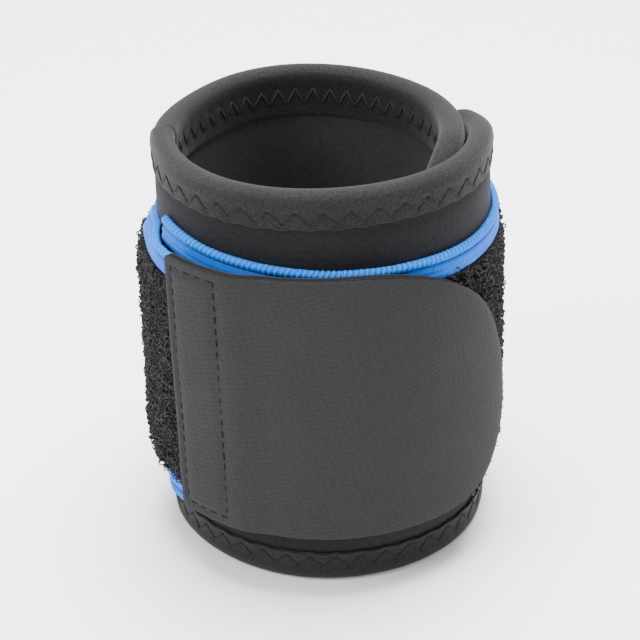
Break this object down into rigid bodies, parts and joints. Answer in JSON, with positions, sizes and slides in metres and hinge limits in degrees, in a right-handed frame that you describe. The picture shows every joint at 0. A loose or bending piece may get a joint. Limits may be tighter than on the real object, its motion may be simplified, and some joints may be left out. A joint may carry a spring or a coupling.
{
  "type": "wrist splint",
  "caption": "Wrap-round padded wrist support with bound stitched edges, an elastic loop-pile band with coloured edging and a sewn hook tab that peels open.",
  "frame": {"origin": "middle of the wrist opening, on the axis of the cuff's inner wall, half-way up the cuff", "axes": "+Z along the wrist, up as it stands; -Y towards the side that carries the hook tab; +X to the right of that side"},
  "size_m": [0.0769, 0.0799, 0.092],
  "materials": {
    "neoprene_foam": "closed-cell foam rubber",
    "lining_knit": "smooth knitted lining, dark charcoal",
    "outer_jersey": "smooth stretch jersey, dark charcoal",
    "edge_binding": "soft folded stretch binding, charcoal",
    "black_thread": "polyester sewing thread",
    "tab_thread": "polyester sewing thread",
    "elastic_ground": "woven elastic",
    "loop_pile": "matt brushed loop pile",
    "band_edging": "bright blue ribbed stretch edging",
    "tab_fabric": "fine twill knit laminated to foam, charcoal",
    "hook_tape": "moulded nylon hooks on woven tape"
  },
  "bodies": {
    "cuff": {"cuff_foam_core": "neoprene_foam", "cuff_inner_lining": "lining_knit", "cuff_outer_jersey": "outer_jersey", "top_edge_binding": "edge_binding", "bottom_edge_binding": "edge_binding", "inside_end_binding": "edge_binding", "flap_end_binding": "edge_binding", "top_outside_stitching": "black_thread", "top_inside_stitching": "black_thread", "bottom_outside_stitching": "black_thread", "bottom_inside_stitching": "black_thread", "elastic_band_wrap": "elastic_ground", "loop_pile_wrap": "loop_pile", "top_edging_wrap": "band_edging", "bottom_edging_wrap": "band_edging", "band_anchor_stitching": "black_thread"},
    "band_end": {"elastic_band_end": "elastic_ground", "loop_pile_end": "loop_pile", "top_edging_end": "band_edging", "bottom_edging_end": "band_edging", "tab_sewn_base": "tab_fabric", "tab_box_stitching": "tab_thread"},
    "tab": {"tab_hook_field": "hook_tape", "tab_hook_tape": "hook_tape", "tab_foam_core": "neoprene_foam", "tab_face_fabric": "tab_fabric"}
  },
  "joints": [
    {"name": "band_unwrap", "type": "hinge", "parent": "cuff", "child": "band_end", "pos_m": [-0.03635, 0.00347, 0], "axis": [0, 0, -1], "range_deg": [0, 75]},
    {"name": "tab_peel", "type": "hinge", "parent": "band_end", "child": "tab", "pos_m": [-0.01762, -0.03626, 0], "axis": [0, 0, -1], "range_deg": [0, 150]}
  ]
}
